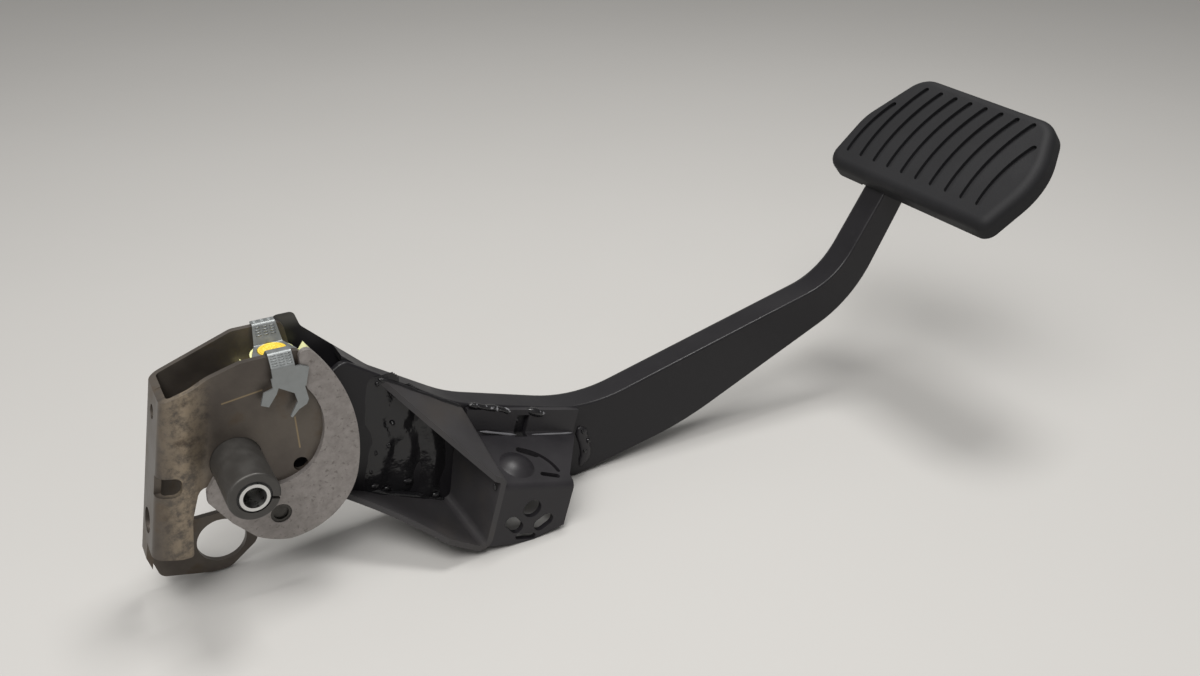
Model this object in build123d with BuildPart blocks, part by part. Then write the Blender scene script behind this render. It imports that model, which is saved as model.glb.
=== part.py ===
from build123d import *
import os
from math import atan2, cos, radians, sin

# Brake pedal lever lying on its lower edge. X runs from the pivot towards the pad, Y along the
# pivot axis away from the open side of the gusset, Z up. The origin is on the pivot axis, in the
# middle plane of the lever arm. All sizes are in millimetres.

# Pivot: bolt hole, spacer sleeve, plastic liners and rolled tube
bolt_hole_d = 8.4
sleeve_wall = 1.25
sleeve_stand_out = 0.4
liner_wall = 0.85
liner_length = 14.0
liner_inset = 0.6
running_gap = 0.05
press_gap = 0.02
tube_d = 19.0
tube_near_stand_out = 27.0
tube_far_stand_out = 8.0
tube_end_round = 0.9
seam_width = 1.1
seam_angle = -19.0

# Lever: a deep pressed channel closed by a flat plate on the near side
lever_sheet = 2.5
lever_width = 16.0
lever_round = 3.5
plate_overlap = 0.6
plate_edge = 1.0
hub_radius = 17.0
weld_gap = 0.02
web_start_x = 47.0
notch_width = 5.8
arm_foot = 0.8
arm_reach = 40.5

# Link bracket: one folded channel with a joggled near flange
link_sheet = 2.5
link_width = 25.5
link_gap = 1.5
link_lean = 11.6
link_web_offset = 28.3
fold_radius = 2.8
strip_width = 10.0
joggle_run = 6.0
joggle_radius = 7.0
tube_gap = 0.15
ring_hole_d = 19.4
ring_x = -7.6
ring_z = -47.4
web_hole_small_d = 5.6
web_hole_large_d = 10.0
fold_slot_height = 8.0
fold_slot_reach = 9.0
fold_slot_depth = 4.5
fold_slot_round = 3.0
fold_slot_up = -8.0
lobe_hole_d = 5.8
near_flange_top = 39.2
far_flange_top = 42.2

# Hook plate and its rivet
hook_sheet = 2.5
hook_gap = 0.3
rivet_x = 12.7
rivet_z = -27.0
rivet_head_d = 8.2
rivet_shank_d = 6.0
rivet_sink = 0.5
rivet_back_head = 1.6

# Ball socket and clip
socket_x = 21.0
socket_z = 26.5
socket_side_gap = 0.3
socket_length = 25.0
socket_height = 16.2
socket_floor = 1.0
ball_d = 12.0
cup_wall = 1.3
cup_gap = 0.15
cup_button_d = 10.4
cup_button_height = 1.4
clip_sheet = 0.9
clip_width = 8.6
clip_wide = 16.6
clip_gap = 0.25
clip_hole_gap = 0.3

# Gusset: open pressed scoop welded on the near side
gusset_sheet = 2.5
gusset_depth = 33.0
gusset_roof_corner = 3.2
gusset_nose_corner = 5.5

# Switch bracket: folded wall, ledge and end plate
bracket_sheet = 2.5
bracket_turn = 16.3
bracket_fold = 2.2
ledge_depth = 33.0
ledge_back_q = 5.8
ledge_front_q = -2.3
bracket_top_q = 16.5
bracket_bottom_q = -31.0
bracket_left_p = 95.0
bracket_right_p = 149.5
end_plate_right_p = 136.0
end_hole_d = 8.2
end_slot_length = 9.4
end_slot_width = 5.8
foot_slot_length = 9.6
foot_slot_width = 2.8
dome_d = 15.4
dome_height = 2.6
dome_clear = 2.2
dome_y = -29.5
dome_shank_d = 6.0
tab_slit = 1.8
tab_gap = 3.2
tab_gap_length = 10.5
tab_end_gap = 2.4
tab_end_length = 9.0

# Pad plate and rubber
pad_tilt = 39.8
pad_foot_x = 309.9
pad_foot_z = 50.4
pad_y = -28.0
rubber_thickness = 10.0
rubber_lip = 1.2
rubber_wall = 3.2
rubber_round = 4.5
rubber_gap = 0.15
lip_reach = 6.0
plate_sheet = 2.5
groove_count = 10
groove_pitch = 9.56
groove_width = 3.0
groove_depth = 1.8
groove_first_x = -50.3
groove_low = 11.0
groove_high = 54.5
groove_lean = 3.4
groove_bow = 3.2

# Stations along the pivot axis
near_wall_y = -lever_width / 2
far_wall_y = lever_width / 2
link_far_y = far_wall_y - lever_sheet - link_gap
link_near_y = link_far_y - link_width
lobe_y = link_near_y + hook_sheet
tube_near_y = lobe_y - tube_near_stand_out
tube_far_y = far_wall_y + tube_far_stand_out

# Radii of the pivot, each from the one inside it
sleeve_d = bolt_hole_d + 2 * sleeve_wall
liner_d = sleeve_d + 2 * running_gap + 2 * liner_wall
tube_bore_d = liner_d + 2 * press_gap
tube_length = tube_far_y - tube_near_y


def side_plane(y):
    """Plane of a side view: X right, Z up, facing the near side."""
    return Plane.XZ.offset(-y)


def export(part, name):
    """Label a finished piece and write it to its own file."""
    part.label = name
    export_step(part, f"parts/{name}.step")


os.makedirs("parts", exist_ok=True)
cut_size = 200.0

# Pad frame: local X to the near side, local Y up the pad, Z out of the tread
pad_up = Vector(cos(radians(pad_tilt)), 0, sin(radians(pad_tilt)))
pad_out = Vector(-sin(radians(pad_tilt)), 0, cos(radians(pad_tilt)))
pad_plane = Plane((pad_foot_x, pad_y, pad_foot_z), x_dir=(0, -1, 0), z_dir=pad_out)
plate_back = rubber_thickness - rubber_lip
seat = Vector(pad_foot_x, 0, pad_foot_z) - pad_out * plate_back


def on_seat(run, drop=0):
    """Point in the side view on the back of the pad plate, a run up from its foot and a drop behind it."""
    point = seat + pad_up * run - pad_out * drop
    return (point.X, point.Z)


# Lever edges in the side view, from the hub to the pad and back along the floor
knee = (pad_foot_x - 18.9, pad_foot_z - 45.9)
heel = (pad_foot_x - 6.9, pad_foot_z - 59.9)
arm_top = [(92, -8), (153, -28.5), knee, on_seat(arm_foot)]
arm_top_radii = [60, 70, 40, 0]
arm_low = [on_seat(arm_reach), heel, (205, -51.5), (148, -62.5), (85, -57.5), (40, -36),
           (14, -hub_radius)]
arm_low_radii = [0, 60, 150, 25, 20, 10, 12]
hub_end = [(-hub_radius, -hub_radius), (-hub_radius, hub_radius)]
hub_end_radii = [hub_radius * 0.99, hub_radius * 0.99]
near_cheek = [(36, hub_radius), (web_start_x, 24)]
near_cheek_radii = [6, 4]
far_cheek = [(20, 32), (25.2, 43.8), (34, 43.8), (36, 37), (web_start_x, 26.2), (60, 13.5)]
far_cheek_radii = [6, 3, 3, 4, 12, 20]


def lever_face(cheek, cheek_radii, grow):
    """Side outline of the lever with one of its hub cheeks, grown by an amount."""
    outline = arm_top + arm_low + hub_end + cheek
    radii = arm_top_radii + arm_low_radii + hub_end_radii + cheek_radii
    with BuildSketch() as face:
        with BuildLine():
            FilletPolyline(*outline, radius=radii, close=True)
        make_face()
        if grow:
            offset(amount=grow)
    return face.sketch


# Closing plate of the lever: flat, its edge a little proud of the channel behind it
plate_back_y = near_wall_y + lever_sheet
with BuildPart() as lever_plate:
    with BuildSketch(side_plane(plate_back_y)):
        add(lever_face(near_cheek, near_cheek_radii, 0))
        Circle(tube_d / 2 + weld_gap, mode=Mode.SUBTRACT)
    extrude(amount=lever_sheet)
    plate_rim = lever_plate.faces().sort_by(Axis.Y)[0].outer_wire().edges()
    fillet(plate_rim, plate_edge)
export(lever_plate.part, "lever_plate")

# Channel of the lever: far wall with its edges turned in, open at the hub where only the cheek runs on
with BuildPart() as lever_channel:
    with BuildSketch(side_plane(far_wall_y)):
        add(lever_face(far_cheek, far_cheek_radii, -plate_overlap))
    extrude(amount=far_wall_y - plate_back_y)
    far_rim = lever_channel.faces().sort_by(Axis.Y)[-1].outer_wire().edges()
    fillet(far_rim, lever_round)
    with BuildSketch(side_plane(far_wall_y - lever_sheet)):
        add(lever_face(far_cheek, far_cheek_radii, -plate_overlap - lever_sheet))
        with Locations((web_start_x, 0)):
            Rectangle(cut_size, cut_size, align=(Align.MAX, Align.CENTER))
    extrude(amount=lever_width, mode=Mode.SUBTRACT)
    with BuildSketch(side_plane(far_wall_y)):
        Circle(tube_d / 2 + weld_gap)
    extrude(amount=lever_width, mode=Mode.SUBTRACT)
export(lever_channel.part, "lever_channel")

# Pivot tube rolled from plate, with the open butt seam along its length
with BuildPart() as pivot_tube:
    with BuildSketch(side_plane(tube_far_y)):
        Circle(tube_d / 2)
        Circle(tube_bore_d / 2, mode=Mode.SUBTRACT)
        with Locations(Location((0, 0, 0), (0, 0, seam_angle))):
            Rectangle(tube_d, seam_width, align=(Align.MIN, Align.CENTER), mode=Mode.SUBTRACT)
    extrude(amount=tube_length)
    outer_ends = pivot_tube.edges().filter_by(GeomType.CIRCLE)
    fillet(outer_ends.filter_by(lambda edge: edge.radius > tube_bore_d / 2 + 1), tube_end_round)
export(pivot_tube.part, "pivot_tube")


def liner(start_y):
    """Thin plastic bush pressed into one end of the tube."""
    with BuildPart() as bush:
        with BuildSketch(side_plane(start_y)):
            Circle(liner_d / 2)
            Circle(sleeve_d / 2 + running_gap, mode=Mode.SUBTRACT)
        extrude(amount=liner_length)
    return bush.part


export(liner(tube_near_y + liner_inset + liner_length), "liner_near")
export(liner(tube_far_y - liner_inset), "liner_far")

# Bright spacer sleeve, clamped by the pivot bolt, a little longer than the tube
with BuildPart() as spacer_sleeve:
    with BuildSketch(side_plane(tube_far_y + sleeve_stand_out)):
        Circle(sleeve_d / 2)
        Circle(bolt_hole_d / 2, mode=Mode.SUBTRACT)
    extrude(amount=tube_length + 2 * sleeve_stand_out)
export(spacer_sleeve.part, "spacer_sleeve")

# Link bracket: the folded section runs along the web, then both flanges are cut to outline
lean = radians(link_lean)
link_up = Vector(sin(lean), 0, cos(lean))
link_plane = Plane((0, 0, 0), x_dir=(cos(lean), 0, -sin(lean)), z_dir=link_up)
sheet_half = link_sheet / 2
web_a = -link_web_offset + sheet_half
web_plane = Plane(link_plane.x_dir * -link_web_offset, x_dir=(0, -1, 0), z_dir=-link_plane.x_dir)
joggle_a = -link_web_offset + strip_width
flange_reach = 60.0
section_line = [
    (flange_reach, link_far_y - sheet_half),
    (web_a, link_far_y - sheet_half),
    (web_a, link_near_y + sheet_half),
    (joggle_a, link_near_y + sheet_half),
    (joggle_a + joggle_run, lobe_y + sheet_half),
    (flange_reach, lobe_y + sheet_half),
]
section_radii = [fold_radius, fold_radius, joggle_radius, joggle_radius]
near_flange = [(-45, 24.7), (7, near_flange_top - 0.3), (28, near_flange_top), (40, 18), (41, -14),
               (24, -36), (8, -33.5), (-7, -13), (-12.5, -2), (-19, -20), (-21, -36.3), (-45, -28.5)]
near_flange_radii = [0, 10, 3, 18, 18, 10, 8, 2, 4, 15, 1, 0]
ring_outer = 14.0
ring_low = ring_z - ring_outer
ring_right = ring_x + ring_outer
far_flange = [(-45, 22.7), (9, far_flange_top), (28, far_flange_top), (31, 18), (17, -22), (ring_right, -40),
              (ring_right, ring_z - 4.6), (ring_x + 1.6, ring_low), (-13, ring_low),
              (-32.5, -56.3), (-37, -38), (-45, -36)]
far_flange_radii = [0, 6, 4, 15, 20, 6, 6, 6, 12, 4, 2, 0]
lobe_hole = (23.2, -9.0)
sight_hole = [(-19, -20), (-9, -21), (-3, -28), (-6, -34.5), (-17, -34.5)]
split_y = (link_near_y + link_far_y) / 2

with BuildPart() as link_bracket:
    with BuildSketch(link_plane):
        with BuildLine():
            section = FilletPolyline(*section_line, radius=section_radii)
        trace(section, line_width=link_sheet)
    extrude(amount=cut_size / 2, both=True)
    for outline, radii, inward in ((near_flange, near_flange_radii, 1), (far_flange, far_flange_radii, -1)):
        with BuildSketch(side_plane(split_y)):
            Rectangle(cut_size * 2, cut_size * 2)
            with BuildLine():
                FilletPolyline(*outline, radius=radii, close=True)
            make_face(mode=Mode.SUBTRACT)
        extrude(amount=inward * link_width, mode=Mode.SUBTRACT)
    with BuildSketch(side_plane(split_y)):
        Circle(tube_d / 2 + tube_gap)
    extrude(amount=link_width, both=True, mode=Mode.SUBTRACT)
    with BuildSketch(side_plane(split_y)):
        with Locations((ring_x, ring_z)):
            Circle(ring_hole_d / 2)
        with BuildLine():
            FilletPolyline(*sight_hole, radius=2.0, close=True)
        make_face()
    extrude(amount=-link_width, mode=Mode.SUBTRACT)
    with BuildSketch(side_plane(split_y)):
        with Locations(lobe_hole):
            Circle(lobe_hole_d / 2)
        with Locations((rivet_x, rivet_z)):
            Circle(rivet_shank_d / 2 + press_gap)
    extrude(amount=link_width, mode=Mode.SUBTRACT)
    with BuildSketch(web_plane):
        with Locations((8.0, 17.0)):
            Circle(web_hole_small_d / 2)
        with Locations((8.0, -28.5)):
            Circle(web_hole_large_d / 2)
    extrude(amount=-link_sheet * 1.5, mode=Mode.SUBTRACT)
    fold_slot = link_plane.x_dir * -link_web_offset + link_up * fold_slot_up
    with BuildSketch(side_plane(link_near_y)):
        with Locations(Location((fold_slot.X, fold_slot.Z, 0), (0, 0, -link_lean))):
            RectangleRounded(2 * fold_slot_reach, fold_slot_height, fold_slot_round)
    extrude(amount=-fold_slot_depth, mode=Mode.SUBTRACT)
export(link_bracket.part, "link_bracket")

# Hook plate: flat crescent lying on the lobe, cradling the tube from below
cradle_r = tube_d / 2 + hook_gap
cradle_left = (cradle_r * cos(radians(204)), cradle_r * sin(radians(204)))
cradle_low = (0, -cradle_r)
cradle_right = (cradle_r * cos(radians(278)), cradle_r * sin(radians(278)))
hook_tip = (32.6, 38.3)
hook_heel = (44.5, -16.2)
hook_low = (15.0, -39.6)
hook_toe = (2.4, -34.3)
hook_flank = (-5.6, -25.0)
hook_nose = [(-12.8, -13.4), (-12.5, -8.9)]
window_right = (27.6, -8.2)
window_top = (29.1, 23.5)
tip_left = [(27.5, 28.0), (27.4, 37.0)]
hook_bows = [(45.0, 11.0), (34.0, -33.2), (8.5, -37.7), (14.6, -13.9), (33.5, 7.0), (29.9, 39.6)]
with BuildPart() as hook_plate:
    with BuildSketch(side_plane(lobe_y)):
        with BuildLine():
            ThreePointArc(hook_tip, hook_bows[0], hook_heel)
            ThreePointArc(hook_heel, hook_bows[1], hook_low)
            ThreePointArc(hook_low, hook_bows[2], hook_toe)
            Polyline(hook_toe, hook_flank, *hook_nose, cradle_left)
            ThreePointArc(cradle_left, cradle_low, cradle_right)
            ThreePointArc(cradle_right, hook_bows[3], window_right)
            ThreePointArc(window_right, hook_bows[4], window_top)
            Polyline(window_top, *tip_left)
            ThreePointArc(tip_left[1], hook_bows[5], hook_tip)
        make_face()
        with Locations((rivet_x, rivet_z)):
            Circle(rivet_head_d / 2 + press_gap, mode=Mode.SUBTRACT)
    extrude(amount=hook_sheet)
export(hook_plate.part, "hook_plate")

# Rivet with a sunk ring head in the hook plate and a set head behind the lobe
with BuildPart() as hook_rivet:
    with BuildSketch(side_plane(lobe_y)):
        with Locations((rivet_x, rivet_z)):
            Circle(rivet_head_d / 2)
    extrude(amount=hook_sheet - rivet_sink)
    with BuildSketch(side_plane(lobe_y - hook_sheet + rivet_sink)):
        with Locations((rivet_x, rivet_z)):
            Circle(rivet_head_d * 0.36)
    extrude(amount=-hook_sheet * 0.4, mode=Mode.SUBTRACT)
    with BuildSketch(side_plane(lobe_y)):
        with Locations((rivet_x, rivet_z)):
            Circle(rivet_shank_d / 2)
    extrude(amount=-link_sheet)
    with BuildSketch(side_plane(lobe_y + link_sheet)):
        with Locations((rivet_x, rivet_z)):
            Circle(rivet_head_d / 2)
    extrude(amount=-rivet_back_head)
export(hook_rivet.part, "hook_rivet")

# Ball socket for the push rod: a moulded shell between the flanges, with a round collar and two snap ears
lobe_back_y = lobe_y + link_sheet
far_flange_front_y = link_far_y - link_sheet
socket_y = (lobe_back_y + far_flange_front_y) / 2
socket_width = far_flange_front_y - lobe_back_y - 2 * socket_side_gap
socket_low = socket_z - socket_height / 2
socket_top = socket_z + socket_height / 2
socket_left = socket_x - socket_length / 2
socket_right = socket_x + socket_length / 2
cup_d = ball_d + 2 * cup_wall
collar = cup_d / 2 + cup_gap + 0.8
shoulder = socket_top - 5.5
ear_depth = 4.7
ear_foot = shoulder - 1.0
shell_line = [
    (socket_left, socket_low + 3),
    (socket_left, shoulder),
    (socket_right, shoulder),
    (socket_right, socket_low + 3),
    (socket_right - 3, socket_low),
    (socket_left + 3, socket_low),
]
left_ear = [
    (socket_left, ear_foot),
    (socket_left - 0.4, socket_top + 2.3),
    (socket_left + 3.2, socket_top - 0.4),
    (socket_left + 3.2, ear_foot),
]
right_ear = [
    (socket_right - 3.7, ear_foot),
    (socket_right - 3.7, socket_top + 1.2),
    (socket_right - 1.8, socket_top + 3.8),
    (socket_right + 0.9, socket_top - 0.4),
    (socket_right, ear_foot),
]
with BuildPart() as socket_shell:
    with BuildSketch(side_plane(socket_y)):
        with BuildLine():
            Polyline(*shell_line, close=True)
        make_face()
    extrude(amount=socket_width / 2, both=True)
    for ear in (left_ear, right_ear):
        with BuildSketch(side_plane(socket_y - socket_width / 2)):
            with BuildLine():
                Polyline(*ear, close=True)
            make_face()
        extrude(amount=-ear_depth)
    with BuildSketch(Plane.XY.offset(ear_foot)):
        with Locations((socket_x, socket_y)):
            Circle(collar)
    extrude(amount=socket_top - ear_foot)
    with BuildSketch(Plane.XY.offset(socket_top)):
        with Locations((socket_x, socket_y)):
            Circle(cup_d / 2 + cup_gap)
    extrude(amount=-socket_height + socket_floor, mode=Mode.SUBTRACT)
    with BuildSketch(Plane.YZ.offset(socket_x)):
        with Locations((socket_y, socket_z)):
            Circle(ball_d / 2 - 0.4)
    extrude(amount=-socket_length, mode=Mode.SUBTRACT)
export(socket_shell.part, "socket_shell")

# Bright bearing cup inside the shell, with a round button that shows through the clip
with BuildPart() as socket_cup:
    with BuildSketch(Plane.XY.offset(socket_low + socket_floor + cup_gap)):
        with Locations((socket_x, socket_y)):
            Circle(cup_d / 2)
    extrude(amount=socket_height - socket_floor - cup_gap)
    with BuildSketch(Plane.XY.offset(socket_top)):
        with Locations((socket_x, socket_y)):
            Circle(cup_button_d / 2)
    extrude(amount=cup_button_height)
    with Locations((socket_x, socket_y, socket_z)):
        Sphere(ball_d / 2, mode=Mode.SUBTRACT)
    with BuildSketch(Plane.YZ.offset(socket_x)):
        with Locations((socket_y, socket_z)):
            Circle(ball_d / 2 - 0.4)
    extrude(amount=-socket_length, mode=Mode.SUBTRACT)
export(socket_cup.part, "socket_cup")

# Spring clip: a strip folded over both flanges, with a side plate and two legs on the near side
clip_half = clip_sheet / 2
clip_top_far = far_flange_top + clip_gap + clip_half
clip_top_near = near_flange_top + clip_gap + clip_half
clip_floor = socket_top + clip_gap + clip_half
clip_far_y = link_far_y + clip_gap + clip_half
clip_near_y = link_near_y - clip_gap - clip_half
clip_line = [
    (clip_far_y, clip_top_far - 4.0),
    (clip_far_y, clip_top_far),
    (far_flange_front_y - 0.3, clip_top_far),
    (far_flange_front_y - 3.4, clip_floor),
    (lobe_back_y + 2.0, clip_floor),
    (lobe_back_y + 0.5, clip_top_near),
    (lobe_y - 0.4, clip_top_near),
    (clip_near_y, clip_top_near - 4.6),
    (clip_near_y, 31.0),
]
clip_bend = 0.9
narrow_left = socket_x - clip_width / 2
narrow_right = socket_x + clip_width / 2
wide_left = socket_x - clip_wide / 2
wide_right = socket_x + clip_wide / 2
clip_plan = [
    (narrow_left, 20),
    (narrow_left, far_flange_front_y - 0.5),
    (wide_left, socket_y - 3),
    (wide_left, socket_y - 4.6),
    (narrow_left, socket_y - 8),
    (narrow_left, -60),
    (narrow_right, -60),
    (narrow_right, socket_y - 8),
    (wide_right, socket_y - 4.6),
    (wide_right, socket_y - 3),
    (narrow_right, far_flange_front_y - 0.5),
    (narrow_right, 20),
]
side_plate = [(18.0, 34.4), (27.2, 34.6), (30.3, 33.1), (28.4, 25.9), (23.8, 23.8), (17.8, 27.8)]
left_leg = [(18.6, 32.4), (16.1, 31.4), (16.3, 27.6), (12.7, 26.6), (11.2, 22.0), (13.9, 20.6), (17.3, 25.1),
            (18.6, 28.0)]
right_leg = [(23.7, 24.4), (27.9, 26.0), (28.7, 20.1), (27.8, 18.2), (24.6, 16.7), (21.9, 14.0), (21.2, 14.5),
             (24.5, 20.0)]
with BuildPart() as spring_clip:
    with BuildSketch(Plane.YZ.offset(socket_x)):
        with BuildLine():
            saddle = FilletPolyline(*clip_line, radius=clip_bend)
        trace(saddle, line_width=clip_sheet)
    extrude(amount=clip_wide / 2, both=True)
    with BuildSketch(Plane.XY):
        with Locations((socket_x, socket_y)):
            Rectangle(cut_size, cut_size)
        with BuildLine():
            Polyline(*clip_plan, close=True)
        make_face(mode=Mode.SUBTRACT)
    extrude(amount=cut_size / 2, mode=Mode.SUBTRACT)
    with BuildSketch(side_plane(clip_near_y + clip_half)):
        for corners in (side_plate, left_leg, right_leg):
            with BuildLine():
                Polyline(*corners, close=True)
            make_face()
    extrude(amount=clip_sheet)
    with BuildSketch(Plane.XY.offset(clip_floor)):
        with Locations((socket_x, socket_y)):
            Circle(cup_button_d / 2 + clip_hole_gap)
    extrude(amount=clip_sheet * 2, both=True, mode=Mode.SUBTRACT)
export(spring_clip.part, "spring_clip")

# Gusset: walls stand on the lever's near wall, their free rim sweeps back to the lever on the left
gusset_back = [(52, 19.6), (94.8, -9.9), (88, -57.5), (30, -31.6)]
gusset_front = [(57, -0.8), (99.2, -28.5), (89.5, -62.5), (36, -27.4)]
gusset_radii = [gusset_nose_corner, gusset_roof_corner, gusset_nose_corner, gusset_nose_corner]
gusset_rim_y = near_wall_y - gusset_depth
rim_run = atan2(gusset_front[1][1] - gusset_front[2][1], gusset_front[1][0] - gusset_front[2][0])
rim_up = Vector(cos(rim_run), 0, sin(rim_run))
rim_left = Vector(-sin(rim_run), 0, cos(rim_run))
rim_top = Vector(gusset_front[1][0], 0, gusset_front[1][1])
rim_low = Vector(gusset_front[2][0], 0, gusset_front[2][1])
rim_middle = (rim_top + rim_low) / 2
rim_plane = Plane(rim_middle, x_dir=rim_left, z_dir=rim_up)
roof_land = 5.5
roof_sweep = 43.4
floor_land = 20.0
floor_sweep = 39.7


def gusset_box(inset):
    """Tapered box from the lever's near wall to the rim, shrunk by an inset on every side."""
    with BuildPart() as box:
        for corners, y in ((gusset_back, near_wall_y), (gusset_front, gusset_rim_y)):
            with BuildSketch(side_plane(y)):
                with BuildLine():
                    FilletPolyline(*corners, radius=gusset_radii, close=True)
                make_face()
                if inset:
                    offset(amount=-inset)
        loft(ruled=True)
    return box.part


gusset_space = gusset_box(0)
gusset_hollow = gusset_box(gusset_sheet)
with BuildPart() as gusset:
    add(gusset_space)
    add(gusset_hollow, mode=Mode.SUBTRACT)
    for start, sweep, upward in ((roof_land, roof_sweep, 1), (floor_land, floor_sweep, -1)):
        with BuildSketch(rim_plane):
            with BuildLine():
                Polyline((start, -gusset_rim_y), (start + sweep, -near_wall_y), (cut_size, -near_wall_y),
                         (cut_size, cut_size), (start, cut_size), close=True)
            make_face()
        extrude(amount=upward * cut_size, mode=Mode.SUBTRACT)
export(gusset.part, "gusset")

# Switch bracket: wall on the lever, sloping ledge, and an end plate facing the near side
turn = radians(bracket_turn)
along_p = Vector(cos(turn), 0, -sin(turn))
up_q = Vector(sin(turn), 0, cos(turn))
bracket_half = bracket_sheet / 2
bracket_wall_y = near_wall_y - bracket_half
end_plate_y = near_wall_y - ledge_depth + bracket_half
fold_section = Plane((0, 0, 0), x_dir=(0, 1, 0), z_dir=along_p)
end_face = Plane((0, end_plate_y - bracket_half, 0), x_dir=along_p, z_dir=(0, -1, 0))
gusset_edge_p = gusset_front[1][0] * cos(turn) - gusset_front[1][1] * sin(turn)
dome_p = gusset_edge_p + dome_d / 2 + dome_clear
ledge_slope = (ledge_back_q - ledge_front_q) / (bracket_wall_y - end_plate_y)
ledge_out = (up_q - Vector(0, ledge_slope, 0)).normalized()
ledge_rise = bracket_half * (1 + ledge_slope**2) ** 0.5
dome_q = ledge_front_q - bracket_half + ledge_slope * (dome_y - end_plate_y) + ledge_rise
dome_plane = Plane(along_p * dome_p + up_q * dome_q + Vector(0, dome_y, 0), x_dir=along_p, z_dir=ledge_out)
bracket_line = [
    (bracket_wall_y, bracket_top_q),
    (bracket_wall_y, ledge_back_q - bracket_half),
    (end_plate_y, ledge_front_q - bracket_half),
    (end_plate_y, bracket_bottom_q),
]
end_hole = (118.5, -14.0)
end_slots = [((111.8, -21.5), -38.0), ((125.6, -20.8), 42.0)]
foot_slot = (118.6, -27.3)
foot_corner = [(112.0, bracket_bottom_q), (123.0, -29.1), (136.5, -22.4), (bracket_right_p, -22.4),
               (bracket_right_p, bracket_bottom_q)]
slot_left_p = 119.4
skew_start_y = near_wall_y - bracket_sheet - 2
with BuildPart() as switch_bracket:
    with BuildSketch(fold_section.offset(bracket_left_p)):
        with BuildLine():
            folded = FilletPolyline(*bracket_line, radius=[bracket_fold, bracket_fold])
        trace(folded, line_width=bracket_sheet)
    extrude(amount=bracket_right_p - bracket_left_p)
    with BuildSketch(Plane((0, 0, 0), x_dir=along_p, z_dir=up_q).offset(-cut_size / 2)):
        with BuildLine():
            Polyline((bracket_right_p, skew_start_y), (end_plate_right_p, end_plate_y + 4),
                     (end_plate_right_p, -cut_size), (cut_size, -cut_size),
                     (cut_size, skew_start_y), close=True)
        make_face()
    extrude(amount=cut_size, mode=Mode.SUBTRACT)
    with BuildSketch(end_face):
        with Locations(end_hole):
            Circle(end_hole_d / 2)
        for middle, slot_turn in end_slots:
            with Locations(Location((*middle, 0), (0, 0, slot_turn))):
                SlotOverall(end_slot_length, end_slot_width)
        with Locations(foot_slot):
            SlotOverall(foot_slot_length, foot_slot_width)
    extrude(amount=-bracket_sheet * 1.5, mode=Mode.SUBTRACT)
    with BuildSketch(end_face.offset(-ledge_depth - bracket_sheet)):
        with Locations((slot_left_p, ledge_back_q - bracket_sheet)):
            Rectangle(notch_width, bracket_top_q - ledge_back_q, align=Align.MIN)
    extrude(amount=bracket_sheet * 3, mode=Mode.SUBTRACT)
    with BuildSketch(end_face):
        with BuildLine():
            Polyline(*foot_corner, close=True)
        make_face()
    extrude(amount=-bracket_sheet * 1.5, mode=Mode.SUBTRACT)
    with BuildSketch(dome_plane):
        with BuildLine(mode=Mode.PRIVATE):
            tab_arc = ThreePointArc((4.2, 9.6), (13.6, 4.9), (18.2, -4.0))
        SlotArc(tab_arc, tab_slit)
        with Locations(Location((8.0, 7.4, 0), (0, 0, -25.7))):
            SlotOverall(tab_gap_length, tab_gap)
        with Locations(Location((13.2, -6.4, 0), (0, 0, -13.0))):
            SlotOverall(tab_end_length, tab_end_gap)
    extrude(amount=bracket_sheet * 1.5, both=True, mode=Mode.SUBTRACT)
    with BuildSketch(dome_plane):
        Circle(dome_shank_d / 2 + press_gap)
    extrude(amount=-bracket_sheet * 2, mode=Mode.SUBTRACT)
    add(gusset_space, mode=Mode.SUBTRACT)
export(switch_bracket.part, "switch_bracket")

# Pad plate: pressed steel plate welded on the end of the lever
pad_outline = [(-60.0, 0.5), (46.0, 0.5), (52.5, 33.0), (38.0, 60.2), (-46.0, 62.4), (-60.5, 31.0)]
pad_radii = [9.0, 6.0, 40.0, 14.0, 13.0, 25.0]


def pad_face(inset):
    """Outline of the rubber pad, shrunk by an inset."""
    with BuildSketch() as face:
        with BuildLine():
            FilletPolyline(*pad_outline, radius=pad_radii, close=True)
        make_face()
        if inset:
            offset(amount=-inset)
    return face.sketch


with BuildPart() as pad_plate:
    with BuildSketch(pad_plane.offset(-plate_back)):
        add(pad_face(rubber_wall + rubber_gap))
    extrude(amount=plate_sheet)
export(pad_plate.part, "pad_plate")

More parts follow.
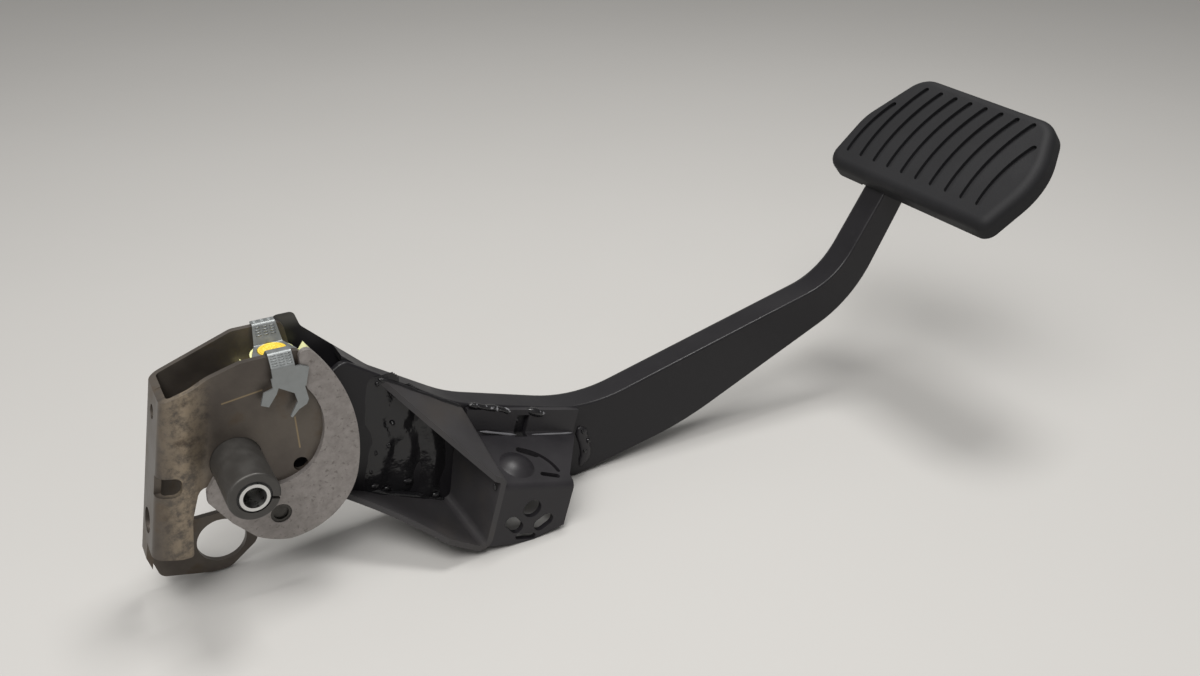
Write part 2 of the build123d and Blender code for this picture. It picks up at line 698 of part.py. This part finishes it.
# Rubber pad stretched over the plate: crowned edge, curved grooves, and a lip behind the plate
groove_short_high = 41.4
groove_last_high = 44.3
with BuildPart() as pad_rubber:
    with BuildSketch(pad_plane.offset(-rubber_thickness)):
        add(pad_face(0))
    extrude(amount=rubber_thickness)
    tread_edge = pad_rubber.faces().sort_by(Axis((0, 0, 0), tuple(pad_out)))[-1].edges()
    fillet(tread_edge, rubber_round)
    with BuildSketch(pad_plane.offset(-plate_back - rubber_gap)):
        add(pad_face(rubber_wall))
    extrude(amount=plate_sheet + 2 * rubber_gap, mode=Mode.SUBTRACT)
    with BuildSketch(pad_plane.offset(-rubber_thickness)):
        add(pad_face(rubber_wall + lip_reach))
    extrude(amount=rubber_lip + rubber_gap, mode=Mode.SUBTRACT)
    with BuildSketch(pad_plane):
        for index in range(groove_count):
            low_x = groove_first_x + index * groove_pitch
            high = groove_short_high if index == 0 else groove_high
            high = groove_last_high if index == groove_count - 1 else high
            rise = (high - groove_low) / (groove_high - groove_low)
            high_x = low_x + groove_lean * rise
            middle_x = (low_x + high_x) / 2 - groove_bow * rise
            with BuildLine(mode=Mode.PRIVATE):
                middle = (middle_x, (groove_low + high) / 2)
                groove = ThreePointArc((low_x, groove_low), middle, (high_x, high))
            SlotArc(groove, groove_width)
    extrude(amount=-groove_depth, mode=Mode.SUBTRACT)
    with BuildSketch(side_plane(near_wall_y - 0.5)):
        with BuildLine():
            Polyline(on_seat(-arm_reach / 2), on_seat(arm_reach + 1.5), on_seat(arm_reach + 1.5, arm_reach),
                     on_seat(-arm_reach / 2, arm_reach), close=True)
        make_face()
    extrude(amount=-lever_width - 1, mode=Mode.SUBTRACT)
export(pad_rubber.part, "pad_rubber")

# Domed rivet on the ledge of the switch bracket
dome_ball = (dome_d**2 / 4 + dome_height**2) / (2 * dome_height)
with BuildPart() as dome_rivet:
    with Locations(dome_plane.offset(dome_height - dome_ball)):
        Sphere(dome_ball)
    split(bisect_by=dome_plane, keep=Keep.TOP)
    with BuildSketch(dome_plane):
        Circle(dome_shank_d / 2)
    extrude(amount=-bracket_sheet)
    with BuildSketch(dome_plane.offset(-bracket_sheet)):
        Circle(dome_shank_d * 0.75)
    extrude(amount=-dome_height / 2)
export(dome_rivet.part, "dome_rivet")
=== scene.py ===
from math import cos, pi, sin

import bmesh
import bpy
from mathutils import Matrix, Vector, noise


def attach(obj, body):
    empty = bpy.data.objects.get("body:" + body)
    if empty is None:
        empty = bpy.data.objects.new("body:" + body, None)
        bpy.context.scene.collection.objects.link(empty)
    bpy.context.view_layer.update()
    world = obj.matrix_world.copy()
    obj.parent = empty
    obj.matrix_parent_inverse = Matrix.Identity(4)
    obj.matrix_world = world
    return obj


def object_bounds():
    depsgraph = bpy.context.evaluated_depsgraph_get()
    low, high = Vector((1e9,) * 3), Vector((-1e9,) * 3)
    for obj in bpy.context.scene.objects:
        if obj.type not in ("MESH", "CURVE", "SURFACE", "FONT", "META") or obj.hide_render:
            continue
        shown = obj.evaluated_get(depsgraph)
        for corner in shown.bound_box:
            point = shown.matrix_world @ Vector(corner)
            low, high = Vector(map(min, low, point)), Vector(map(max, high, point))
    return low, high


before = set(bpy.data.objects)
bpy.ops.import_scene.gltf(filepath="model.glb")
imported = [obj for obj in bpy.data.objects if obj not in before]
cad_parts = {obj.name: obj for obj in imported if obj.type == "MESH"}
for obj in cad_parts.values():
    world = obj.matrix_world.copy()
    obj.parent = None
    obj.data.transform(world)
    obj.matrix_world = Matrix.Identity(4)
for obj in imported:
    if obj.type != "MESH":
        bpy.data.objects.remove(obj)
cad_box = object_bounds()

# Lever: a deep pressed channel closed by a flat plate, with the steel plate of the pad welded to its end.
# Sheet steel, dipped and baked in satin black with a faint orange peel and a little dust lying on it.
# The tab at the top of the hub is painted a paler grey, painted light on a face that lies in shade.


class Value:
    """One socket of a material: arithmetic makes math nodes, node() makes any other node fed by it."""

    def __init__(self, tree, socket):
        self.tree = tree
        self.socket = socket

    def node(self, kind, inputs=None, out=0, **settings):
        made = self.tree.nodes.new(kind)
        for name, value in settings.items():
            setattr(made, name, value)
        for key, value in (inputs or {}).items():
            if isinstance(value, Value):
                self.tree.links.new(value.socket, made.inputs[key])
            else:
                made.inputs[key].default_value = value
        return Value(self.tree, made.outputs[out])

    def __add__(self, other):
        return self.node("ShaderNodeMath", {0: self, 1: other}, operation="ADD")

    def __mul__(self, other):
        return self.node("ShaderNodeMath", {0: self, 1: other}, operation="MULTIPLY")

    def noise(self, scale, detail=4.0, rough=0.55):
        """Noise with about scale waves to the metre; this socket is the place."""
        inputs = {"Vector": self, "Scale": scale, "Detail": detail, "Roughness": rough}
        return self.node("ShaderNodeTexNoise", inputs)

    def step(self, low, high, to_low=0.0, to_high=1.0):
        """A smooth step: to_low up to low, to_high from high on."""
        ends = {0: self, 1: low, 2: high, 3: to_low, 4: to_high}
        return self.node("ShaderNodeMapRange", ends, interpolation_type="SMOOTHSTEP")

    def spread(self, to_low, to_high):
        """Take the usual range of a noise, 0.3 to 0.7, to a range of its own."""
        return self.step(0.3, 0.7, to_low, to_high)

    def mix(self, low, high):
        """A colour between low and high, each an RGB colour or another socket."""
        low, high = (end if isinstance(end, Value) else (*end, 1.0) for end in (low, high))
        return self.node("ShaderNodeMix", {0: self, 6: low, 7: high}, out=2, data_type="RGBA")

    def near(self, start, end, width):
        """1 on the line from start to end, falling to 0 at a width from it; this socket is the place."""
        a, b = Vector(start), Vector(end)
        length = (b - a).length
        along = (b - a) / length
        from_a = self.node("ShaderNodeVectorMath", {0: self, 1: a}, operation="SUBTRACT")
        run = self.node("ShaderNodeVectorMath", {0: from_a, 1: along}, out=1, operation="DOT_PRODUCT")
        run = self.node("ShaderNodeClamp", {"Value": run, "Min": 0.0, "Max": length})
        foot = self.node("ShaderNodeVectorMath", {0: along, 3: run}, operation="SCALE")
        gap = self.node("ShaderNodeVectorMath", {0: from_a, 1: foot}, out=1, operation="DISTANCE")
        return gap.step(0.0, width, 1.0, 0.0)


def material(name, color, rough, metallic=0.0, shine=0.5):
    """A Principled material, with its shader and the object's own coordinates."""
    made = bpy.data.materials.new(name)
    made.use_nodes = True
    shader = made.node_tree.nodes["Principled BSDF"]
    shader.inputs["Base Color"].default_value = (*color, 1.0)
    shader.inputs["Roughness"].default_value = rough
    shader.inputs["Metallic"].default_value = metallic
    shader.inputs["Specular IOR Level"].default_value = shine
    place = made.node_tree.nodes.new("ShaderNodeTexCoord")
    return made, shader, Value(made.node_tree, place.outputs["Object"])


def feed(shader, **sockets):
    """Link values to the shader's sockets; bump is a strength, a depth in metres and a height."""
    for name, value in sockets.items():
        if name == "bump":
            strength, depth, height = value
            inputs = {"Strength": strength, "Distance": depth, "Height": height}
            value = height.node("ShaderNodeBump", inputs)
            name = "Normal"
        shader.id_data.links.new(value.socket, shader.inputs[name.replace("_", " ")])


def dress(made, *names):
    """Give finished CAD nodes a material."""
    for name in names:
        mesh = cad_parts[name].data
        mesh.materials.clear()
        mesh.materials.append(made)


paint, shader, place = material("black_paint", (0.010, 0.0095, 0.0110), rough=0.36, shine=0.30)
cloud = place.noise(38.0)
orange_peel = place.noise(900.0, detail=2.0)
dust = place.noise(240.0, detail=3.0).step(0.58, 0.78)
coat = (cloud * 0.6 + dust * 0.35).mix((0.0065, 0.0060, 0.0075), (0.015, 0.014, 0.016))
# Painted light: the tab's shaded face is lifted to a paler grey.
tab_light = place.near((0.0270, 0.0055, 0.0410), (0.0330, 0.0055, 0.0410), 0.006)
feed(
    shader,
    Base_Color=(tab_light * 0.9).mix(coat, (0.075, 0.073, 0.070)),
    Roughness=cloud.spread(0.30, 0.44),
    bump=(0.16, 0.0004, cloud * 0.8 + orange_peel * 0.3),
)
dress(paint, "lever_plate", "lever_channel", "pad_plate")

# Gusset: an open scoop pressed from one sheet of steel and welded to the lever's near side.
# The same black paint, greyer as painted light that lifts the shade in the scoop, and with a film of brown
# brake dust that stays in the scoop.
dust_and_lift, shader, place = material("dust_and_lift_paint", (0.022, 0.0205, 0.0205), rough=0.42, shine=0.4)
cloud = place.noise(60.0)
orange_peel = place.noise(900.0, detail=2.0)
brake_dust = place.noise(34.0, detail=3.0).step(0.45, 0.7)
# Painted light: this base is paler than the lever's paint, to lift the shade in the scoop.
lifted_base = (cloud * 0.8).mix((0.0235, 0.0222, 0.0235), (0.0425, 0.0405, 0.0425))
feed(
    shader,
    Base_Color=(brake_dust * 0.3).mix(lifted_base, (0.052, 0.043, 0.034)),
    Roughness=cloud.spread(0.34, 0.5),
    bump=(0.15, 0.0004, cloud * 0.8 + orange_peel * 0.3),
)
dress(dust_and_lift, "gusset")

# Switch bracket and its rivet: a folded strip of sheet steel, with a domed rivet set in the ledge.
# Both are under the same black paint as the lever, a little greyer with dust.
greyed, shader, place = material("bracket_paint", (0.015, 0.014, 0.0158), rough=0.38, shine=0.34)
cloud = place.noise(52.0)
orange_peel = place.noise(900.0, detail=2.0)
feed(
    shader,
    Base_Color=(cloud * 0.9).mix((0.0105, 0.0098, 0.0116), (0.0225, 0.0208, 0.0232)),
    Roughness=cloud.spread(0.30, 0.44),
    bump=(0.16, 0.0004, cloud * 0.8 + orange_peel * 0.3),
)
dress(greyed, "switch_bracket", "dome_rivet")

# Beads along the bracket's top edge: lumpy runs of filler that hold its wall to the lever beside the slot.
# Half sunk in the steel they join, with black paint pooled on them and pale specks on the crests, which are
# painted glints.
MM = 0.001
ACROSS = Vector((0, 1, 0))


def piece(name, mesh, made):
    """A new mesh object that rides on the pedal and takes the given material."""
    data = bpy.data.meshes.new(name)
    mesh.normal_update()
    mesh.to_mesh(data)
    mesh.free()
    data.materials.append(made)
    for face in data.polygons:
        face.use_smooth = True
    thing = bpy.data.objects.new(name, data)
    bpy.context.scene.collection.objects.link(thing)
    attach(thing, "pedal")


def bead(name, made, points, radius, flat, lump, seed):
    """A lumpy bead along points in mm; flat squashes it along Y, lump is the share by which it swells."""
    spacing = 0.0009
    sides = 10
    swell_scale = 170
    drift_scale = 130
    drift_share = 0.5
    end_share = 0.35
    end_growth = 0.22
    path = [Vector(point) * MM for point in points]
    spots = []
    for a, b in zip(path, path[1:]):
        count = max(2, int((b - a).length / spacing))
        spots += [a.lerp(b, i / count) for i in range(count)]
    spots.append(path[-1])
    last = len(spots) - 1
    mesh = bmesh.new()
    rings = []
    for i, spot in enumerate(spots):
        ahead = (spots[min(i + 1, last)] - spots[max(i - 1, 0)]).normalized()
        side = ahead.cross(ACROSS).normalized()
        swell = noise.noise(spot * swell_scale + Vector((seed, 0, 0)))
        taper = min(1.0, end_share + min(i, last - i) * end_growth)
        size = radius * MM * taper * (1 + lump * swell)
        sway = noise.noise(spot * drift_scale + Vector((0, seed, 0)))
        middle = spot + side * sway * radius * drift_share * MM
        ring = []
        for k in range(sides):
            turn = 2 * pi * k / sides
            ring.append(mesh.verts.new(middle + side * cos(turn) * size + ACROSS * sin(turn) * size * flat))
        rings.append(ring)
    for one, two in zip(rings, rings[1:]):
        for k in range(sides):
            after = (k + 1) % sides
            mesh.faces.new((one[k], one[after], two[after], two[k]))
    mesh.faces.new(rings[0])
    mesh.faces.new(reversed(rings[-1]))
    bmesh.ops.recalc_face_normals(mesh, faces=mesh.faces)
    piece(name, mesh, made)


glinting, shader, place = material("glint_weld", (0.0085, 0.0082, 0.0092), rough=0.2)
ripple = place.noise(420.0, detail=2.0)
feed(
    shader,
    # Painted highlight: the pale specks on the crests stand in for glints.
    Base_Color=ripple.step(0.60, 0.70).mix((0.0085, 0.0082, 0.0092), (0.17, 0.17, 0.18)),
    Roughness=ripple.step(0.35, 0.7, 0.11, 0.26),
    bump=(0.35, 0.0006, ripple),
)
left_of_slot = [(96.6, -9.3, -9.6), (106.4, -9.3, -13.5), (116.5, -9.3, -18.2)]
right_of_slot = [(122.6, -9.3, -19.2), (128.8, -9.3, -22.8), (132.6, -9.3, -23.4)]
bead("weld_bracket_top", glinting, left_of_slot, radius=1.5, flat=1.2, lump=0.4, seed=1.0)
bead("weld_bracket_top_right", glinting, right_of_slot, radius=1.9, flat=1.3, lump=0.5, seed=2.0)

# Fillet at the bracket's right end: a wide, flat run of filler from the ledge's edge on to the lever.
# Smoother than the beads, so the bracket's own paint covers it evenly.
bracket_end = [(150.2, -8.2, -36.5), (152.0, -8.2, -44.5), (152.3, -8.2, -52.5), (150.6, -8.2, -57.6)]
bead("weld_bracket_end", greyed, bracket_end, radius=2.6, flat=0.5, lump=0.2, seed=3.0)

# Beads of the gusset: filler along its foot on the closing plate, its roof's edge and its front corner.
# Welded before painting, so the paint has pooled on them and is glossier than on the sheet.
weld, shader, place = material("weld_paint", (0.0085, 0.0082, 0.0092), rough=0.2, shine=0.42)
ripple = place.noise(420.0, detail=2.0)
feed(shader, Roughness=ripple.step(0.35, 0.7, 0.11, 0.26), bump=(0.35, 0.0006, ripple))
pocket_floor = [(52, -8.4, -38), (60, -8.4, -42), (73, -8.4, -48), (84, -8.4, -54)]
roof_edge = [(60.0, -8.6, 13.0), (74, -8.6, 3.4), (94, -8.6, -10.4)]
front_corner = [(96.4, -40.0, -31), (96.2, -40.0, -38), (94.6, -40.0, -48), (92.8, -40.0, -57)]
bead("weld_pocket_floor", weld, pocket_floor, radius=1.7, flat=0.9, lump=0.4, seed=7.0)
bead("weld_gusset_top", weld, roof_edge, radius=1.2, flat=0.9, lump=0.35, seed=8.0)
bead("weld_gusset_front", weld, front_corner, radius=1.3, flat=0.6, lump=0.4, seed=9.0)

# Thick paint along the bracket's fold: two thin lines, one on each side of the slot.
# It gathered in the fold when the bracket was dipped; its pale grey is a painted highlight along the fold's
# edge.
# Painted highlight: the pale grey of the fold lines stands in for light on the fold's edge.
fold_highlight, shader, place = material("fold_highlight_paint", (0.12, 0.119, 0.128), rough=0.3)
fold_left = [(100.3, -11.6, -22.3), (108.5, -11.6, -25.5), (116.9, -11.6, -29.1)]
fold_right = [(123.0, -11.6, -30.8), (133.2, -11.6, -33.4), (144.1, -11.6, -36.4)]
bead("crease_left", fold_highlight, fold_left, radius=0.55, flat=0.9, lump=0.25, seed=4.0)
bead("crease_right", fold_highlight, fold_right, radius=0.5, flat=0.9, lump=0.25, seed=5.0)

# Drops of filler beside the beads: round lumps that froze on the plate and on the edges.
# Each has a middle and half sizes in mm, and is glossy under the pooled paint.
drops = [
    ((53.7, -9.0, -35.9), (2.6, 1.2, 1.7)),
    ((58.7, -9.0, -38.6), (2.0, 1.2, 1.5)),
    ((67.9, -9.0, -38.2), (3.2, 1.0, 1.9)),
    ((79.6, -9.0, -49.3), (2.4, 1.2, 2.0)),
    ((63.8, -9.2, -8.4), (1.3, 1.1, 1.3)),
    ((61.3, -9.2, -18.1), (1.5, 1.2, 1.6)),
    ((55.7, -8.6, -20.6), (1.0, 0.9, 1.6)),
    ((52.8, -8.6, -28.9), (0.9, 0.9, 1.3)),
    ((128.3, -10.2, -22.7), (1.9, 1.3, 1.2)),
    ((118.2, -10.2, -22.7), (0.9, 0.8, 1.5)),
    ((150.5, -9.4, -38.8), (1.1, 1.0, 1.7)),
    ((153.4, -9.2, -44.6), (1.5, 1.3, 1.9)),
    ((151.9, -9.2, -49.4), (1.7, 1.2, 1.5)),
    ((94.1, -39.6, -31.4), (1.1, 0.9, 2.2)),
    ((59.0, -9.0, 11.0), (1.2, 1.1, 1.5)),
]
drop_scale = 0.72
lump_share = 0.3
lump_scale = 1.3
mesh = bmesh.new()
for spot, size in drops:
    ball = bmesh.ops.create_icosphere(mesh, subdivisions=3, radius=1.0)
    for vert in ball["verts"]:
        swell = 1 + lump_share * noise.noise(vert.co * lump_scale + Vector(spot))
        reach = Vector(a * b for a, b in zip(size, vert.co))
        vert.co = (Vector(spot) + reach * swell * drop_scale) * MM
piece("weld_drops", mesh, weld)

# Melted runs on the closing plate inside the gusset: three wavy ridges of filler that sagged before it set.
# Each has its path in X and Z, its width and its crest in mm; one skin over the plate carries all three.
runs = [
    ([(61, 9), (57.5, -6), (60.5, -16), (57, -27), (54, -39)], 4.2, 1.7),
    ([(71, 0), (67, -11), (69.5, -23), (66, -40)], 4.0, 1.5),
    ([(79, -13), (81, -28), (77, -47)], 4.2, 1.5),
]
skin_left, skin_width, columns = 47.0, 40.0, 56
skin_top, skin_height, rows = 14.0, 66.0, 96
plate_face = -8.0
sunk = -0.32
deepest = -0.5
shown_from = 0.0078
swell_share = 0.45
wander_share = 0.25
falloff = 2.718
mesh = bmesh.new()
grid = []
for i in range(columns + 1):
    line = []
    for k in range(rows + 1):
        x = skin_left + skin_width * i / columns
        z = skin_top - skin_height * k / rows
        here = Vector((x, z))
        rise = sunk
        for points, width, crest in runs:
            gap = float("inf")
            for a, b in zip(map(Vector, points), map(Vector, points[1:])):
                share = min(1.0, max(0.0, (here - a).dot(b - a) / (b - a).length_squared))
                gap = min(gap, (here - a.lerp(b, share)).length)
            swell = 1 + swell_share * noise.noise(Vector((x * 0.16, z * 0.11, crest)))
            gap *= 1 + wander_share * noise.noise(Vector((x * 0.2, z * 0.14, 5.0 + crest)))
            rise += crest * swell * falloff ** -((gap / width) ** 2)
        line.append(mesh.verts.new(Vector((x, plate_face - max(rise, deepest), z)) * MM))
    grid.append(line)
for one, two in zip(grid, grid[1:]):
    for k in range(rows):
        quad = (one[k], one[k + 1], two[k + 1], two[k])
        if max(-vert.co.y for vert in quad) > shown_from:
            mesh.faces.new(quad)
bmesh.ops.delete(mesh, geom=[vert for vert in mesh.verts if not vert.link_faces], context="VERTS")
piece("weld_runs", mesh, weld)

# Pivot tube: rolled from steel strip with an open seam, and welded through the lever.
# It has a dark grey phosphate coat.
tube, shader, place = material("tube_steel", (0.075, 0.072, 0.069), rough=0.45, metallic=0.55)
phosphate = place.noise(160.0)
feed(
    shader,
    Base_Color=phosphate.mix((0.046, 0.0437, 0.041), (0.078, 0.0745, 0.070)),
    Roughness=phosphate.spread(0.38, 0.52),
    bump=(0.15, 0.0003, phosphate),
)
dress(tube, "pivot_tube")

# Liners: thin black bushes moulded in acetal, one pressed into each end of the tube.
# The near one shows as a dark ring between tube and sleeve.
acetal, shader, place = material("liner_plastic", (0.012, 0.012, 0.012), rough=0.5)
feed(shader, bump=(0.1, 0.0002, place.noise(800.0)))
dress(acetal, "liner_near", "liner_far")

# Spacer sleeve: turned from bright steel, with a plain ring for its end face.
# The pivot bolt goes through it, and it turns in the liners.
bright, shader, place = material("sleeve_steel", (0.62, 0.62, 0.61), rough=0.32, metallic=1.0)
turned = place.noise(700.0, detail=2.0)
feed(shader, Roughness=turned.spread(0.25, 0.42), bump=(0.2, 0.0002, turned))
dress(bright, "spacer_sleeve")

# Link bracket: steel sheet, folded to a channel with a joggled near flange that fits over the tube.
# Oiled brown, with rusty patches, a rubbed strip along the fold, widened and lightened as painted light for
# the fold's dim face, and two scored lines on the near lobe.
brown, shader, place = material("brown_steel", (0.11, 0.095, 0.078), rough=0.42, metallic=0.6)
blotch = place.noise(46.0, detail=5.0)
grain = place.noise(520.0, detail=3.0)
rust = place.noise(90.0, detail=4.0).step(0.55, 0.75)
scuffs = place.noise(260.0, detail=5.0, rough=0.7).step(0.3, 0.62)
# Partly painted light: the rubbed strip is wider and paler than its wear, to make up for the light its face
# misses.
strip = place.near((-0.0142, -0.0205, 0.0326), (-0.0227, -0.0205, -0.031), 0.012)
score_width = 0.0005
score = place.near((-0.0016, -0.0190, 0.0246), (0.013, -0.0190, 0.0263), score_width)
score = score + place.near((0.0234, -0.0190, 0.0117), (0.0237, -0.0190, -0.0017), score_width)
tone = blotch.spread(0.0, 1.0).mix((0.072, 0.061, 0.053), (0.120, 0.104, 0.088))
tone = (rust * 0.55).mix(tone, (0.085, 0.055, 0.030))
tone = (strip * scuffs * 0.85).mix(tone, (0.31, 0.25, 0.18))
feed(
    shader,
    Base_Color=score.mix(tone, (0.26, 0.20, 0.12)),
    Roughness=blotch.spread(0.36, 0.52),
    bump=(0.15, 0.0003, grain),
)
dress(brown, "link_bracket")

# Hook plate: a crescent blanked from grey steel, lying flat on the bracket's near flange.
# Bare metal, mottled and speckled with dark spots.
speckled, shader, place = material("hook_steel", (0.19, 0.18, 0.165), rough=0.5, metallic=0.45)
mottle = place.noise(230.0, detail=6.0, rough=0.75)
specks = place.noise(620.0, detail=2.0).step(0.60, 0.72)
grey = mottle.spread(0.0, 1.0).mix((0.190, 0.173, 0.164), (0.279, 0.258, 0.246))
feed(
    shader,
    Base_Color=(specks * 0.5).mix(grey, (0.07, 0.06, 0.05)),
    Roughness=mottle.spread(0.42, 0.6),
    bump=(0.2, 0.0003, mottle),
)
dress(speckled, "hook_plate")

# Rivet of the hook plate: a steel pin, set cold so that its head sinks in the plate.
# Dark and oily.
oily, shader, place = material("rivet_steel", (0.05, 0.047, 0.043), rough=0.35, metallic=0.7)
feed(shader, Roughness=place.noise(500.0).spread(0.22, 0.5))
dress(oily, "hook_rivet")

# Shell of the ball socket: moulded in pale yellow nylon, standing between the bracket's flanges.
# The spring clip holds it down.
nylon, shader, place = material("shell_plastic", (0.70, 0.71, 0.36), rough=0.5)
feed(shader, Base_Color=place.noise(200.0).mix((0.66, 0.67, 0.33), (0.76, 0.77, 0.42)))
dress(nylon, "socket_shell")

# Bearing cup: moulded in a deeper yellow plastic and pushed into the shell, to take the ball.
# Its face has a raised rim and six round pads about a gate mark, in the cup's own plastic.
yellow, shader, place = material("cup_plastic", (0.74, 0.47, 0.04), rough=0.38)
feed(shader, Base_Color=place.noise(260.0).mix((0.62, 0.42, 0.03), (0.86, 0.66, 0.10)))
dress(yellow, "socket_cup")
face_middle = Vector((21.0, -7.5, 36.0)) * MM
rim_radius, rim_half_width, rim_height = 0.0043, 0.00045, 0.0004
rim_steps, rim_sides = 48, 8
pad_count, pad_circle = 6, 0.0026
pad_size = (0.0010, 0.0010, 0.00045, 1)
gate_size = (0.0008, 0.0008, 0.0006, 1)
mesh = bmesh.new()
rings = []
for i in range(rim_steps):
    turn = 2 * pi * i / rim_steps
    outward = Vector((cos(turn), sin(turn), 0))
    ring = []
    for k in range(rim_sides):
        roll = 2 * pi * k / rim_sides
        lift = Vector((0, 0, rim_height * sin(roll)))
        ring.append(mesh.verts.new(face_middle + outward * (rim_radius + rim_half_width * cos(roll)) + lift))
    rings.append(ring)
for one, two in zip(rings, rings[1:] + rings[:1]):
    for k in range(rim_sides):
        after = (k + 1) % rim_sides
        mesh.faces.new((one[k], two[k], two[after], one[after]))
buttons = []
for i in range(pad_count):
    turn = 2 * pi * i / pad_count
    buttons.append((face_middle + Vector((cos(turn), sin(turn), 0)) * pad_circle, pad_size))
buttons.append((face_middle, gate_size))
for spot, size in buttons:
    shape = Matrix.Translation(spot) @ Matrix.Diagonal(size)
    bmesh.ops.create_uvsphere(mesh, u_segments=16, v_segments=8, radius=1.0, matrix=shape)
bmesh.ops.recalc_face_normals(mesh, faces=mesh.faces)
piece("cup_face", mesh, yellow)

# Spring clip: bent from zinc plated spring steel, hooked over the socket and the bracket's flanges.
# Three columns of short ribs were rolled into the strip before it was bent; each pad lists them in Y and Z.
zinc, shader, place = material("clip_steel", (0.30, 0.32, 0.325), rough=0.42, metallic=0.75)
plating = place.noise(300.0, detail=4.0)
feed(
    shader,
    Base_Color=plating.mix((0.20, 0.212, 0.213), (0.31, 0.327, 0.33)),
    Roughness=plating.spread(0.34, 0.52),
    bump=(0.2, 0.0002, plating),
)
dress(zinc, "spring_clip")
pads = [
    ((2.2, 43.35), (3.4, 43.35), 2),
    ((0.2, 42.0), (-0.95, 39.2), 4),
    ((-20.15, 39.6), (-22.1, 36.4), 5),
]
first_column, column_pitch, column_count = 18.3, 2.7, 3
rib_shape = Matrix.Diagonal((0.0021, 0.00032, 0.0003, 1))
rib_round = 0.00008
mesh = bmesh.new()
for (y0, z0), (y1, z1), rib_count in pads:
    tilt = Vector((0, y1 - y0, z1 - z0)).to_track_quat("Y", "Z").to_matrix().to_4x4()
    for row in range(rib_count):
        share = row / (rib_count - 1)
        for column in range(column_count):
            x = first_column + column_pitch * column
            spot = Vector((x, y0 + (y1 - y0) * share, z0 + (z1 - z0) * share)) * MM
            bmesh.ops.create_cube(mesh, size=1.0, matrix=Matrix.Translation(spot) @ tilt @ rib_shape)
bmesh.ops.bevel(mesh, geom=mesh.edges[:], offset=rib_round, segments=2, affect="EDGES")
piece("clip_ribs", mesh, zinc)

# Rubber pad: moulded in matt black rubber and slipped over the steel plate at the lever's end.
# Slightly greyed by shoes.
rubber, shader, place = material("pad_rubber", (0.011, 0.011, 0.012), rough=0.6, shine=0.3)
greying = place.noise(30.0).step(0.42, 0.68)
pores = place.noise(1400.0, detail=2.0)
feed(
    shader,
    Base_Color=(greying * 0.8 + pores * 0.15).mix((0.0075, 0.0075, 0.0088), (0.0120, 0.0120, 0.0135)),
    Roughness=greying.step(0.0, 1.0, 0.66, 0.54),
    bump=(0.25, 0.0003, pores),
)
dress(rubber, "pad_rubber")

# Stage: a plain pale floor at the part's lowest point.
# Not part of the object.
floor_height = cad_box[0][2]
ground = bmesh.new()
bmesh.ops.create_grid(ground, x_segments=1, y_segments=1, size=6.0)
floor_mesh = bpy.data.meshes.new("floor")
ground.to_mesh(floor_mesh)
ground.free()
floor_mesh.transform(Matrix.Translation((0, 0, floor_height)))
floor_paint, shader, place = material("floor", (0.56, 0.55, 0.53), rough=0.75)
feed(shader, Base_Color=place.noise(3.0).mix((0.438, 0.430, 0.416), (0.466, 0.458, 0.445)))
floor_mesh.materials.append(floor_paint)
floor = bpy.data.objects.new("floor", floor_mesh)
bpy.context.scene.collection.objects.link(floor)

# Light: a broad soft key from the left, a smaller lamp over the lever and a fill from the front.
# The fill stands high, so that it does not shine through the end plate's holes to the floor behind them.


def lamp(name, place, target, size, watts, color):
    """A square soft light aimed at a point."""
    data = bpy.data.lights.new(name, "AREA")
    data.size = size
    data.energy = watts
    data.color = color
    made = bpy.data.objects.new(name, data)
    made.location = place
    made.rotation_euler = (Vector(target) - Vector(place)).to_track_quat("-Z", "Y").to_euler()
    bpy.context.scene.collection.objects.link(made)


lamp("key", (-0.55, -0.45, 1.3), (0.12, 0, 0), size=0.8, watts=12, color=(1.0, 0.985, 0.96))
lamp("top", (0.38, 0.06, 1.0), (0.17, 0, 0), size=0.30, watts=6.2, color=(1.0, 0.99, 0.97))
lamp("fill", (-0.32, -0.80, 1.25), (0.1, 0, -0.02), size=0.6, watts=9.6, color=(1.0, 0.99, 0.98))

# Sky: even and warm white, half as bright on the right, as in a room lit from the left.
# Its strength sets how dark the shadows are.
world = bpy.data.worlds.new("studio")
world.use_nodes = True
sky = world.node_tree
background = sky.nodes["Background"]
toward = Value(sky, sky.nodes.new("ShaderNodeTexCoord").outputs["Generated"])
right_side = toward.node("ShaderNodeSeparateXYZ", {0: toward}).step(0.5, 0.85)
tint = right_side.mix((1.0, 0.985, 0.96), (0.50, 0.4925, 0.48))
sky.links.new(tint.socket, background.inputs["Color"])
background.inputs["Strength"].default_value = 0.36
bpy.context.scene.world = world
bpy.context.scene.view_settings.view_transform = "Standard"

# Camera: at the photograph's place, 27.5 degrees above the floor and 29 degrees round from the side view.
# Right and up are the picture's own directions.
eye = bpy.data.cameras.new("camera")
eye.sensor_width = 36.0
eye.lens = 34.5
eye.clip_start = 0.01
camera = bpy.data.objects.new("camera", eye)
stand = Matrix.Translation((-0.0560, -0.3964, 0.2366))
right = Vector((0.8737, -0.4865, 0.0))
up = Vector((0.2244, 0.4030, 0.8872))
camera.matrix_world = stand @ Matrix((right, up, right.cross(up))).transposed().to_4x4()
bpy.context.scene.collection.objects.link(camera)
bpy.context.scene.camera = camera
